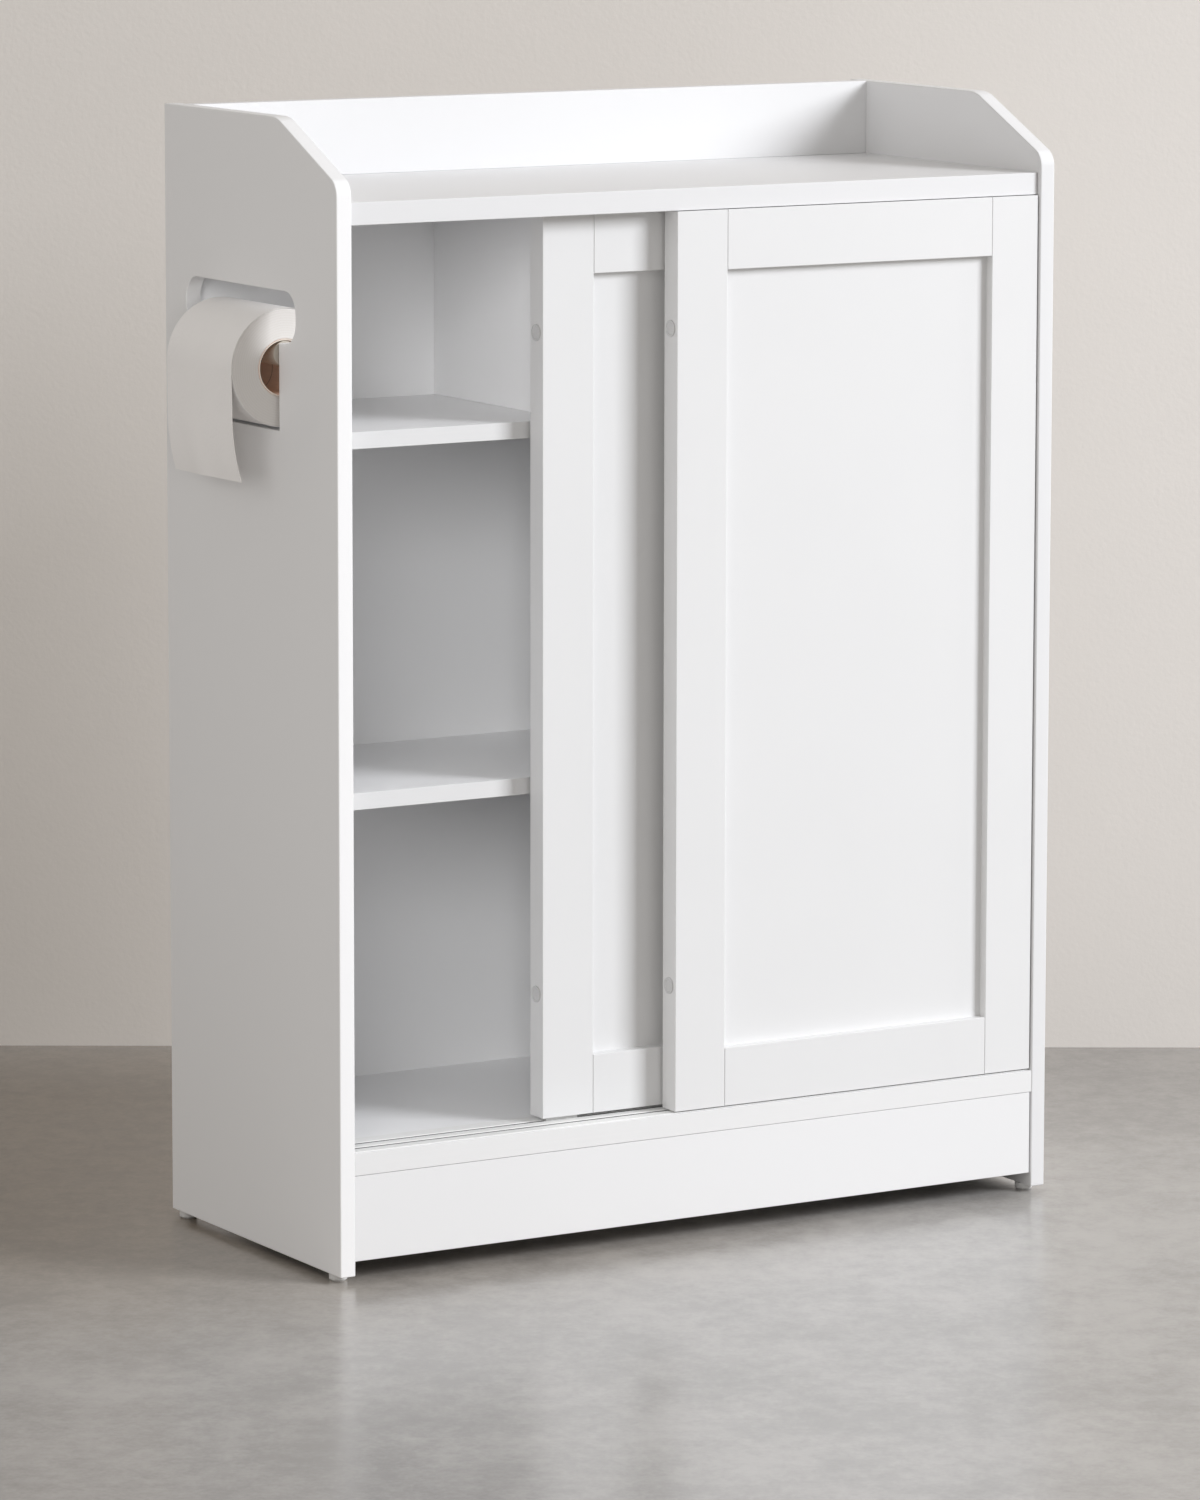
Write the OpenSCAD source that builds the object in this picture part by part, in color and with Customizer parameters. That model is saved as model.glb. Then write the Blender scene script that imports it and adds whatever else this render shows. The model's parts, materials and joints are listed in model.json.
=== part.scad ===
// Toilet roll storage cabinet: a tall box with two framed doors that slide past each
// other, three storage bays, a gallery round the top and a roll holder let into the
// left side panel. Millimetres. X runs to the right, Y from front to back, Z up.
// The boards are drawn with X = 0 on the cabinet's centre line, Y = 0 on the side
// panels' front edges and Z = 0 on the floor, and placed() then moves them so that
// the origin lies under the middle of the whole object's box.

/* [Cabinet] */
// Width over the side panels
cab_w = 600; // [580:10:660]
// Depth of the side panels
cab_d = 260; // [255:5:300]
// Height of the side panels' top edge above the floor
cab_h = 820; // [815:5:860]
// Thickness of side panels, shelves, divider and rails
thin_t = 12; // [12:1:13]
// Thickness of the top and bottom boards
thick_t = 16; // [16:1:18]
// Height of the gallery above the top board
gallery_h = 55; // [50:5:60]
// Height of the bottom board's upper face above the floor
base_h = 93.5; // [93:0.5:96]
// Distance from the side panels' back edges to the face of the back panel
back_inset = 23; // [20:1:26]
// Thickness of the back panel
back_t = 5; // [4:0.5:6]
// Depth that the chamfer takes off the side panels' top edge
chamfer_run = 88; // [70:2:100]
// Height that the chamfer takes off the side panels' front edge
chamfer_drop = 42; // [36:1:46]
// Radius of the chamfer's upper corner
chamfer_high_r = 30; // [10:1:40]
// Radius of the chamfer's lower corner
chamfer_low_r = 13; // [8:1:16]

/* [Shelves] */
// Height of the upper shelf's upper face
upper_shelf_z = 600; // [592:1:602]
// Height of the lower shelf's upper face
lower_shelf_z = 343; // [300:0.5:400]
// Distance from the front edges of the side panels to the shelves' front edges
shelf_setback = 43.5; // [43:0.5:48]
// Place of the divider's left face, to the right of the centre line
divider_x = -90; // [-150:5:150]

/* [Base] */
// Height of the feet
foot_h = 5; // [4:1:8]
// Diameter of the feet
foot_d = 13; // [12:1:16]
// Height of the kick board's lower edge above the floor
kick_gap = 15.5; // [12:0.5:20]

/* [Doors] */
// Width of each door
door_w = 309.8; // [305:0.2:320]
// Thickness of each door
door_t = 18; // [18:0.5:18.5]
// Width of the stile at each door's left edge
left_stile_w = 42; // [38:1:48]
// Width of the stile at each door's right edge
right_stile_w = 40; // [38:1:48]
// Height of the top and bottom rails
rail_h = 43; // [38:1:50]
// Depth of the panel's face behind the frame's face
panel_recess = 7.4; // [6:0.2:8]
// Thickness of the doors' panels
panel_t = 5; // [4:0.5:5.5]
// Left edge of the front door, from the centre line
front_door_x = -22.8; // [-100:0.2:-22.8]
// Left edge of the rear door, from the centre line
rear_door_x = -122; // [-200:0.2:-23]
// Diameter of the bumpers on the doors' edges
bumper_d = 12; // [8:1:14]

/* [Sliding track] */
// Width of the bottom and top tracks
track_w = 41; // [39:0.5:42]
// Middle of the front door's groove, from the track's front edge
front_groove = 11.5; // [11:0.5:12]
// Middle of the rear door's groove, from the track's front edge
rear_groove = 25; // [24:0.5:28]
// Width of each groove
groove_w = 4; // [3.6:0.2:4.4]

/* [Roll holder] */
// Radius of the roll of paper
roll_r = 42; // [36:1:43]
// Length of the roll of paper
roll_len = 98; // [90:1:100]
// Radius of the hole through the cardboard core
core_r = 19.5; // [18:0.5:20]
// Radius of the spindle's outer tube
spindle_r = 9; // [8:0.5:9.5]
// Width of the cut-out that the roll hangs in
cutout_w = 116.5; // [112:0.5:120]
// Length of the wide slot above the roll
slot_len = 166; // [150:2:170]
// Height of the wide slot above the roll
slot_h = 37; // [34:1:40]
// Corner radius of the wide slot
slot_r = 16; // [10:1:17]
// Distance from the front edge of the side panel to the cut-out
cutout_y = 86; // [76:1:90]
// Length of paper that hangs straight below the roll's middle
sheet_straight = 25; // [20:1:40]
// Radius of the curl at the sheet's lower end
sheet_curl_r = 250; // [120:10:400]
// Height of the curled part of the sheet
sheet_curl_h = 55; // [40:1:60]

/* [Hidden] */
$fn = 48;

white = [0.93, 0.93, 0.93];
plastic_white = [0.9, 0.9, 0.89];
zinc = [0.7, 0.7, 0.72];
beech = [0.82, 0.68, 0.48];
clear_plastic = [0.85, 0.86, 0.88];
paper_white = [0.95, 0.94, 0.92];
cardboard = [0.45, 0.31, 0.23];

eps = 0.01;             // overrun of a cut past a face
edge_r = 1;             // softened long edges of boards and door frames

// Main planes
in_l = -cab_w / 2 + thin_t;             // inner face of the left side panel
in_r = cab_w / 2 - thin_t;              // inner face of the right side panel
inner_w = in_r - in_l;
top_z = cab_h - gallery_h;              // upper face of the top board
top_under = top_z - thick_t;            // lower face of the top board
base_under = base_h - thick_t;          // lower face of the bottom board
back_y = cab_d - back_inset;            // front face of the back panel
top_setback = 4;                        // top board behind the side panels' edges
base_setback = 0.5;                     // bottom board behind the side panels' edges
kick_setback = 1;                       // kick board behind the side panels' edges
joint_gap = 1;                          // gap left at a loosely fitted board's end
board_corner_r = 2;                     // top board's front corners, seen from above
groove_in = 5;                          // depth of the back panel's grooves
groove_play = 0.2;                      // play of a panel across its groove

// Tracks
track_y = 4;                            // tracks' front edges behind the side panels'
track_proud = 0.4;                      // bottom track above the bottom board
track_t = 8.5;                          // height of the track strips
top_trim = 3;                           // top track's front edge behind the bottom track's
track_seam = 0.4;                       // gap beside a track strip
groove_deep = 5.5;                      // depth of the bottom track's grooves
top_groove_deep = 7;                    // depth of the top track's grooves
front_groove_y = track_y + front_groove;
rear_groove_y = track_y + rear_groove;

// Doors
front_door_y = 2;                       // front face of the front door
rear_door_y = front_door_y + door_t + 2.4;
front_door_z = base_h + 1.4;            // lower edge of the front door
rear_door_z = base_h + 3.2;             // lower edge of the rear door
door_top = top_under - 0.5;             // upper edge of both doors
front_h = door_top - front_door_z;      // height of the front door
rear_h = door_top - rear_door_z;        // height of the rear door
tongue_in = 5.5;                        // depth of panel and tenons in the frame
frame_groove_deep = 6;                  // depth of the groove in stiles and rails
bumper_t = 0.9;                         // height of a bumper on its door edge
bumper_end = 84;                        // bumper's centre from the door's end
glide_seat_l = 30;                      // length of a glide's plate in the door's edge
glide_seat_t = 2.5;                     // thickness of that plate
glide_seat_w = 6;                       // width of that plate
glide_l = 26;                           // length of a glide's runner
glide_t = 3;                            // thickness of a glide's runner
glide_inset = 19;                       // glide's middle from the door's edge
guide_inset = 20;                       // guide pin from the door's edge
guide_r = 1.6;                          // radius of a guide pin
guide_body_r = 3;                       // radius of a guide pin's housing
guide_body_h = 14;                      // depth of a guide pin's housing
guide_out = 6;                          // height of a guide pin above the door

// Roll holder
roll_x = -cab_w / 2 + thin_t / 2;       // roll's axis, in the panel's middle plane
roll_z = upper_shelf_z + 1 + roll_r;    // roll's axis, just clear of the shelf
core_wall = 1;                          // thickness of the cardboard core
hang_play = 0.3;                        // play between core and spindle
spindle_z = roll_z + core_r - spindle_r - hang_play;
cutout_end = cutout_y + cutout_w;       // back edge of the cut-out
slot_y = cutout_y + cutout_w / 2 - slot_len / 2;
slot_z = spindle_z + 8;                 // lower edge of the wide slot
cutout_z = upper_shelf_z - 1;           // lower edge of the cut-out
socket_t = 1.6;                         // thickness of a spindle socket's plate
socket_h = 15;                          // height of a spindle socket's plate
socket_w = thin_t - 2;                  // width of a spindle socket's plate
socket_boss_r = 4;                      // radius of the socket's blind boss
socket_boss_l = 9;                      // depth of the socket's blind boss
pin_r = 2.5;                            // radius of the spindle's end pins
pin_play = 0.1;                         // play round an end pin
roll_y = cutout_y + socket_t + 0.9;     // front face of the roll
tube_y = cutout_y + socket_t + 0.4;     // front end of the spindle's tube
tube_l = 67;                            // length of the spindle's tube
tube_bore_r = 7.5;                      // bore of the spindle's tube
tube_mouth_r = 6.2;                     // narrower mouth of the tube
mouth_l = 3;                            // length of the mouth
tube_floor = 3;                         // closed end of the tube
piston_y = tube_y + 27;                 // front face of the plunger's piston
piston_l = 8;                           // length of the piston
piston_r = 7.4;                         // radius of the piston
shaft_r = 6.1;                          // radius of the plunger's shaft
shaft_end = cutout_end - socket_t - 0.2;
pin_out = 6.5;                          // length of an end pin
spring_turns = 7;
spring_r = 5.6;                         // radius of the spring's coil
wire_r = 0.5;                           // radius of the spring's wire
wire_sides = 6;
turn_rings = 12;                        // rings of the wire in one turn
sheet_t = 0.6;                          // thickness of the sheet
sheet_gap = 0.4;                        // gap between the sheet and the turning roll
sheet_in_r = roll_r + sheet_gap;
sheet_out_r = sheet_in_r + sheet_t;
wrap_deg = 80;                          // how far the sheet lies over the roll

// The object's box reaches from the sheet's outside to the right side panel
reach_left = sheet_out_r - roll_x;
origin_x = (reach_left - cab_w / 2) / 2;

// Furniture fittings: the cams and dowels that join a board's ends to the sides
bolt_r = 2.5;                           // threaded end of a cam bolt
bolt_in = 9;                            // depth of a cam bolt in the side panel
shank_r = 2;                            // plain shank of a cam bolt
bolt_bore_r = 3.2;                      // bore in the board's end
cam_in = 22;                            // cam's centre from the board's end
cam_play = 0.15;                        // play round a cam in its pocket
dowel_r = 3;                            // radius of a dowel
dowel_bore_r = 3.1;                     // radius of a dowel's bore
dowel_in = 9;                           // depth of a dowel's bore in the side panel
dowel_out = 20;                         // depth of a dowel's bore in the board
dowel_end_gap = 1;                      // empty space at a dowel's ends
shelf_pin_r = 2.5;                      // radius of a shelf pin
shelf_pin_out = 8;                      // length of a shelf pin under the shelf
shelf_pin_in = 8;                       // length of a shelf pin in the side panel
thick_cam = [7.5, 12.5];                // radius and depth of a cam in a thick board
thin_cam = [6, 9.5];                    // radius and depth of a cam in a thin board

// Flat boards: height of the lower face, thickness, cam, cam and dowel places in Y
flat_joints = [
    [top_under, thick_t, thick_cam, [72, 204], [100, 176]],
    [base_under, thick_t, thick_cam, [72, 204], [100, 176]],
    [upper_shelf_z - thin_t, thin_t, thin_cam, [72, 210], [54, 226]],
];
// Boards on edge: front face, thickness, cam, cam and dowel heights; cams open backwards
edge_joints = [
    [kick_setback, thin_t, thin_cam, [46], [28, 66]],
    [back_y, thin_t, thin_cam, [top_z + gallery_h / 2], [top_z + 10, cab_h - 10]],
    [cab_d - 40, thin_t, thin_cam, [46], [28, 66]],
];
pin_ys = [64, 216];                     // shelf pins behind the front edges
foot_x = cab_w / 2 - 7;                 // feet from the centre line
foot_ys = [17, cab_d - 12];             // feet behind the front edges
foot_nail_r = 1.3;                      // radius of a foot's nail
foot_nail_l = 12;                       // length of a foot's nail

function unit(v) = v / norm(v);
function half_angle(a, b) = acos(unit(a) * unit(b)) / 2;
function tangent_at(p, a, b, r) = p + unit(a) * r / tan(half_angle(a, b));
function corner_centre(p, a, b, r) = p + unit(unit(a) + unit(b)) * r / sin(half_angle(a, b));

// --- helpers ---------------------------------------------------------------

module placed() {
    translate([origin_x, -cab_d / 2, 0]) children();
}

// Extrudes a (Y, Z) outline along X from x0 over length l
module along_x(x0, l) {
    translate([x0, 0, 0]) rotate([90, 0, 90]) linear_extrude(l) children();
}

// Extrudes an (X, Z) outline along Y from y0 over length l
module along_y(y0, l) {
    translate([0, y0 + l, 0]) rotate([90, 0, 0]) linear_extrude(l) children();
}

// A rod along X, starting at p
module rod_x(p, r, l) {
    translate(p) rotate([0, 90, 0]) cylinder(r = r, h = l);
}

// A rod along Y, starting at p
module rod_y(p, r, l) {
    translate(p) rotate([-90, 0, 0]) cylinder(r = r, h = l);
}

// A rectangle from the point p with its two front corners rounded
module soft_front(p, w, h, r) {
    translate(p) {
        translate([r, 0]) square([w - r, h]);
        translate([0, r]) square([w, h - 2 * r]);
        for (y = [r, h - r]) translate([r, y]) circle(r);
    }
}

// A rectangle from the point p with four rounded corners
module round_rect(p, w, h, r) {
    translate(p) {
        translate([r, 0]) square([w - 2 * r, h]);
        translate([0, r]) square([w, h - 2 * r]);
        for (x = [r, w - r], y = [r, h - r]) translate([x, y]) circle(r);
    }
}

// Bores in the side panels' inner faces for everything that plugs into them
module side_bores(inner_x, out) {
    x0 = out > 0 ? inner_x - eps : inner_x - bolt_in;
    for (j = flat_joints) {
        z = j[0] + j[1] / 2;
        for (y = j[3]) rod_x([x0, y, z], bolt_r, bolt_in + eps);
        for (y = j[4]) rod_x([x0, y, z], dowel_bore_r, dowel_in + eps);
    }
    for (j = edge_joints) {
        y = j[0] + j[1] / 2;
        for (z = j[3]) rod_x([x0, y, z], bolt_r, bolt_in + eps);
        for (z = j[4]) rod_x([x0, y, z], dowel_bore_r, dowel_in + eps);
    }
    pin_x = out > 0 ? inner_x - eps : inner_x - shelf_pin_in;
    for (y = pin_ys) {
        rod_x([pin_x, y, lower_shelf_z - thin_t - shelf_pin_r], shelf_pin_r, shelf_pin_in + eps);
    }
}

// Bores and cam pockets in a flat board of flat_joints
module flat_board_cuts(j) {
    z = j[0] + j[1] / 2;
    for (y = j[3]) {
        for (x0 = [in_l - eps, in_r - cam_in]) rod_x([x0, y, z], bolt_bore_r, cam_in + eps);
        for (x = [in_l + cam_in, in_r - cam_in]) {
            translate([x, y, j[0] - eps]) cylinder(r = j[2][0] + cam_play, h = j[2][1] + eps);
        }
    }
    for (y = j[4], x0 = [in_l - eps, in_r - dowel_out]) {
        rod_x([x0, y, z], dowel_bore_r, dowel_out + eps);
    }
}

// Bores and cam pockets in a board on edge of edge_joints
module edge_board_cuts(j) {
    y = j[0] + j[1] / 2;
    for (z = j[3]) {
        for (x0 = [in_l - eps, in_r - cam_in]) rod_x([x0, y, z], bolt_bore_r, cam_in + eps);
        for (x = [in_l + cam_in, in_r - cam_in]) {
            rod_y([x, j[0] + j[1] - j[2][1], z], j[2][0] + cam_play, j[2][1] + eps);
        }
    }
    for (z = j[4], x0 = [in_l - eps, in_r - dowel_out]) {
        rod_x([x0, y, z], dowel_bore_r, dowel_out + eps);
    }
}

// --- carcass ---------------------------------------------------------------

// The side panels' outline, in (Y, Z): a chamfer with rounded corners at the top front
module side_outline() {
    high = [chamfer_run, cab_h];
    low = [0, cab_h - chamfer_drop];
    slope = high - low;
    polygon([
        [0, foot_h], [cab_d, foot_h], [cab_d, cab_h],
        tangent_at(high, [1, 0], -slope, chamfer_high_r),
        tangent_at(high, -slope, [1, 0], chamfer_high_r),
        tangent_at(low, slope, [0, -1], chamfer_low_r),
        tangent_at(low, [0, -1], slope, chamfer_low_r)
    ]);
    translate(corner_centre(high, [1, 0], -slope, chamfer_high_r)) circle(chamfer_high_r);
    translate(corner_centre(low, slope, [0, -1], chamfer_low_r)) circle(chamfer_low_r);
}

// The T-shaped opening that the roll hangs in, in (Y, Z)
module roll_opening() {
    translate([cutout_y, cutout_z]) square([cutout_w, slot_z + slot_h / 2 - cutout_z]);
    round_rect([slot_y, slot_z], slot_len, slot_h, slot_r);
}

// Groove for the back panel's edge, in a side panel
module back_groove(x0) {
    z0 = base_under + thick_t - groove_in;
    translate([x0, back_y, z0]) {
        cube([groove_in + eps, back_t + groove_play, top_under + groove_in - z0]);
    }
}

module foot_sockets(x) {
    for (y = foot_ys) translate([x, y, foot_h - eps]) cylinder(r = foot_nail_r, h = foot_nail_l);
}

module left_side_panel() color(white) {
    difference() {
        along_x(-cab_w / 2, thin_t) difference() {
            side_outline();
            roll_opening();
        }
        side_bores(in_l, -1);
        back_groove(in_l - groove_in);
        foot_sockets(-foot_x);
        rod_y([roll_x, cutout_y - socket_boss_l, spindle_z], socket_boss_r, socket_boss_l + eps);
        rod_y([roll_x, cutout_end - eps, spindle_z], socket_boss_r, socket_boss_l + eps);
    }
}

module right_side_panel() color(white) {
    difference() {
        along_x(in_r, thin_t) side_outline();
        side_bores(in_r, 1);
        back_groove(in_r - eps);
        foot_sockets(foot_x);
    }
}

// What comes off the top board's front corner to leave it round
module corner_nick() {
    translate([in_r, top_setback, top_under - eps]) linear_extrude(thick_t + 2 * eps) {
        difference() {
            translate([-board_corner_r, -1]) square([board_corner_r + 1, board_corner_r + 1]);
            translate([-board_corner_r, board_corner_r]) circle(board_corner_r);
        }
    }
}

module top_board() color(white) {
    difference() {
        along_x(in_l, inner_w) {
            soft_front([top_setback, top_under], cab_d - top_setback, thick_t, edge_r);
        }
        flat_board_cuts(flat_joints[0]);
        for (side = [0, 1]) mirror([side, 0, 0]) corner_nick();
        translate([in_l - eps, track_y + top_trim - track_seam, top_under - eps]) {
            cube([inner_w + 2 * eps, track_w - top_trim + 2 * track_seam, track_t + eps]);
        }
        translate([in_l - eps, back_y, top_under - eps]) {
            cube([inner_w + 2 * eps, back_t + groove_play, groove_in + eps]);
        }
    }
}

module bottom_board() color(white) {
    rebate = track_t - track_proud;
    difference() {
        along_x(in_l, inner_w) {
            soft_front([base_setback, base_under], cab_d - base_setback, thick_t, edge_r);
        }
        flat_board_cuts(flat_joints[1]);
        translate([in_l - eps, track_y - track_seam, base_h - rebate]) {
            cube([inner_w + 2 * eps, track_w + 2 * track_seam, rebate + eps]);
        }
        translate([in_l - eps, back_y, base_h - groove_in]) {
            cube([inner_w + 2 * eps, back_t + groove_play, groove_in + eps]);
        }
    }
}

module upper_shelf() color(white) {
    difference() {
        along_x(in_l, inner_w) {
            soft_front([shelf_setback, upper_shelf_z - thin_t], back_y - shelf_setback, thin_t,
                       edge_r);
        }
        flat_board_cuts(flat_joints[2]);
    }
}

module lower_shelf() color(white) {
    along_x(in_l + 0.5, inner_w - 1) {
        soft_front([shelf_setback, lower_shelf_z - thin_t], back_y - shelf_setback, thin_t, edge_r);
    }
}

module divider_panel() color(white) {
    translate([0, 0, upper_shelf_z]) linear_extrude(top_under - upper_shelf_z) {
        translate([divider_x + thin_t, shelf_setback]) rotate([0, 0, 90]) {
            soft_front([0, 0], back_y - shelf_setback, thin_t, edge_r);
        }
    }
}

module back_panel() color(white) {
    side = groove_in - 0.5;
    translate([in_l - side, back_y + groove_play / 2, base_h - side]) {
        cube([inner_w + 2 * side, back_t, top_under - base_h + 2 * side]);
    }
}

module gallery_rail() color(white) {
    difference() {
        along_x(in_l, inner_w) translate([back_y, top_z]) square([thin_t, gallery_h]);
        edge_board_cuts(edge_joints[1]);
    }
}

module kick_board() color(white) {
    difference() {
        along_x(in_l, inner_w - joint_gap) {
            soft_front([kick_setback, kick_gap], thin_t, base_under - kick_gap, edge_r);
        }
        edge_board_cuts(edge_joints[0]);
    }
}

module rear_plinth_rail() color(white) {
    difference() {
        along_x(in_l, inner_w) {
            translate([edge_joints[2][0], kick_gap]) square([thin_t, base_under - kick_gap]);
        }
        edge_board_cuts(edge_joints[2]);
    }
}

// A glide foot: a low disc with a softened rim on a plain nail
module glide_foot(x, y) color(plastic_white) {
    rim = 1.2;
    translate([x, y, 0]) rotate_extrude() {
        polygon([
            [0, 0], [foot_d / 2 - rim, 0], [foot_d / 2, rim], [foot_d / 2, foot_h],
            [foot_nail_r - 0.05, foot_h], [foot_nail_r - 0.05, foot_h + foot_nail_l - 1],
            [0, foot_h + foot_nail_l - 1]
        ]);
    }
}

module front_left_foot() glide_foot(-foot_x, foot_ys[0]);
module front_right_foot() glide_foot(foot_x, foot_ys[0]);
module back_left_foot() glide_foot(-foot_x, foot_ys[1]);
module back_right_foot() glide_foot(foot_x, foot_ys[1]);

// --- tracks ----------------------------------------------------------------

// A flat strip with two grooves, in (Y, Z), open upwards, its front edge moved back by trim
module track_outline(deep, trim) {
    lead = 0.5;
    difference() {
        translate([trim, 0]) square([track_w - trim, track_t]);
        for (y = [front_groove, rear_groove]) {
            translate([y, 0]) {
                translate([-groove_w / 2, track_t - deep]) square([groove_w, deep + 1]);
                polygon([
                    [-groove_w / 2 - lead, track_t + eps], [-groove_w / 2, track_t - lead],
                    [groove_w / 2, track_t - lead], [groove_w / 2 + lead, track_t + eps]
                ]);
            }
        }
    }
}

module bottom_track() color(plastic_white) {
    along_x(in_l + 0.2, inner_w - 0.4) {
        translate([track_y, base_h + track_proud - track_t]) {
            track_outline(groove_deep, 0);
        }
    }
}

module top_track() color(plastic_white) {
    along_x(in_l + 0.2, inner_w - 0.4) {
        translate([track_y, top_under + track_t]) mirror([0, 1]) {
            track_outline(top_groove_deep, top_trim);
        }
    }
}

// --- fittings --------------------------------------------------------------

// A cam: a disc with a cross slot in its open face and a way in for the bolt's head.
// Its axis is Z, its open face looks down at z = 0, and the bolt comes along dir * X.
module cam(size, dir, bolt_z) {
    slot = 1.4;
    mouth = shank_r + 1;
    difference() {
        cylinder(r = size[0], h = size[1] - 0.3);
        for (a = [0, 90]) rotate([0, 0, a + 45]) {
            translate([-size[0] * 0.6, -slot / 2, -eps]) cube([size[0] * 1.2, slot, 2]);
        }
        translate([dir > 0 ? -2.6 : -size[0] - 1, -mouth, bolt_z - mouth]) {
            cube([size[0] + 3.6, 2 * mouth, 2 * mouth]);
        }
    }
}

module cam_locks() color(zinc) {
    for (j = flat_joints, y = j[3]) {
        translate([in_l + cam_in, y, j[0] + 0.2]) cam(j[2], -1, j[1] / 2 - 0.2);
        translate([in_r - cam_in, y, j[0] + 0.2]) cam(j[2], 1, j[1] / 2 - 0.2);
    }
    for (j = edge_joints, z = j[3]) {
        back = j[0] + j[1] - 0.2;
        translate([in_l + cam_in, back, z]) rotate([90, 0, 0]) cam(j[2], -1, j[1] / 2 - 0.2);
        translate([in_r - cam_in, back, z]) rotate([90, 0, 0]) cam(j[2], 1, j[1] / 2 - 0.2);
    }
}

// A cam bolt from the side panel's face at the origin: threaded end outwards along
// -dir * X, collar, shank and head along dir * X
module cam_bolt(dir) {
    head_r = 2.7;
    turn = dir > 0 ? 90 : -90;
    rotate([0, turn, 0]) rotate_extrude($fn = 24) {
        polygon([
            [0, 0.5 - bolt_in], [bolt_r - 0.05, 0.5 - bolt_in], [bolt_r - 0.05, 0],
            [3, 0.2], [3, 2], [shank_r, 2.6], [shank_r, cam_in - 4],
            [head_r - 1, cam_in - 2.6], [head_r, cam_in - 1.8], [head_r, cam_in - 0.4],
            [head_r - 1, cam_in + 0.6], [0, cam_in + 0.6]
        ]);
    }
}

module cam_bolts() color(zinc) {
    for (j = flat_joints, y = j[3]) {
        translate([in_l, y, j[0] + j[1] / 2]) cam_bolt(1);
        translate([in_r, y, j[0] + j[1] / 2]) cam_bolt(-1);
    }
    for (j = edge_joints, z = j[3]) {
        translate([in_l, j[0] + j[1] / 2, z]) cam_bolt(1);
        translate([in_r, j[0] + j[1] / 2, z]) cam_bolt(-1);
    }
}

// A dowel across the joint between the side panel's face at p and a board's end
module dowel(p, dir) {
    l = dowel_in + dowel_out - 2 * dowel_end_gap;
    x0 = dir > 0 ? -dowel_in + dowel_end_gap : dowel_in - dowel_end_gap - l;
    rod_x(p + [x0, 0, 0], dowel_r, l, $fn = 24);
}

module wood_dowels() color(beech) {
    for (j = flat_joints, y = j[4]) {
        dowel([in_l, y, j[0] + j[1] / 2], 1);
        dowel([in_r, y, j[0] + j[1] / 2], -1);
    }
    for (j = edge_joints, z = j[4]) {
        dowel([in_l, j[0] + j[1] / 2, z], 1);
        dowel([in_r, j[0] + j[1] / 2, z], -1);
    }
}

module shelf_pins() color(zinc) {
    l = shelf_pin_in + shelf_pin_out - 0.5;
    z = lower_shelf_z - thin_t - shelf_pin_r;
    for (y = pin_ys, x0 = [in_l - shelf_pin_in + 0.5, in_r - shelf_pin_out]) {
        rod_x([x0, y, z], shelf_pin_r - 0.05, l, $fn = 24);
    }
}

// --- roll holder -----------------------------------------------------------

// A socket plate on the cut-out's edge with a blind boss in the panel's thickness.
// The plate's face that touches the panel lies at y, and the boss points along -dir.
module spindle_socket(y, dir) color(plastic_white) {
    plate_y = dir > 0 ? y : y - socket_t;
    boss_y = dir > 0 ? y - socket_boss_l + 0.5 : y - eps;
    bore_l = pin_out + 1.2;
    bore_y = dir > 0 ? y + socket_t - bore_l : y - socket_t;
    difference() {
        union() {
            along_y(plate_y, socket_t) {
                round_rect([roll_x - socket_w / 2, spindle_z - socket_h / 2], socket_w, socket_h, 2);
            }
            rod_y([roll_x, boss_y, spindle_z], socket_boss_r - 0.05, socket_boss_l - 0.5 + eps);
        }
        rod_y([roll_x, bore_y - eps, spindle_z], pin_r + pin_play, bore_l + 2 * eps);
    }
}

module front_spindle_socket() spindle_socket(cutout_y, 1);
module rear_spindle_socket() spindle_socket(cutout_end, -1);

module spindle_tube() color(plastic_white) {
    bore_y = tube_y + tube_floor;
    mouth_y = tube_y + tube_l - mouth_l;
    difference() {
        union() {
            rod_y([roll_x, tube_y, spindle_z], spindle_r, tube_l);
            rod_y([roll_x, tube_y - pin_out, spindle_z], pin_r, pin_out + eps);
        }
        rod_y([roll_x, bore_y, spindle_z], tube_bore_r, mouth_y - bore_y);
        rod_y([roll_x, mouth_y - eps, spindle_z], tube_mouth_r, mouth_l + 2 * eps);
    }
}

module spindle_plunger() color(plastic_white) {
    rod_y([roll_x, piston_y, spindle_z], piston_r, piston_l);
    rod_y([roll_x, piston_y + piston_l - eps, spindle_z], shaft_r, shaft_end - piston_y - piston_l + eps);
    rod_y([roll_x, shaft_end - eps, spindle_z], pin_r, pin_out + eps);
}

// A coil spring between the tube's floor and the piston, as one swept wire
module spindle_spring() color(zinc) {
    y0 = tube_y + tube_floor + wire_r + 0.1;
    y1 = piston_y - wire_r - 0.1;
    last = spring_turns * turn_rings;
    points = [for (i = [0 : last], k = [0 : wire_sides - 1])
        let (a = 360 * i / turn_rings, b = 360 * k / wire_sides, r = spring_r + wire_r * cos(b))
        [roll_x + r * cos(a), y0 + (y1 - y0) * i / last + wire_r * sin(b), spindle_z + r * sin(a)]];
    sides = [for (i = [0 : last - 1], k = [0 : wire_sides - 1])
        let (n = (k + 1) % wire_sides, p = i * wire_sides, q = p + wire_sides)
        each [[p + k, q + k, q + n], [p + k, q + n, p + n]]];
    start = [for (k = [1 : wire_sides - 2]) [0, k, k + 1]];
    end = [for (k = [1 : wire_sides - 2])
        [last * wire_sides, last * wire_sides + k + 1, last * wire_sides + k]];
    polyhedron(points, concat(sides, start, end));
}

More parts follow.
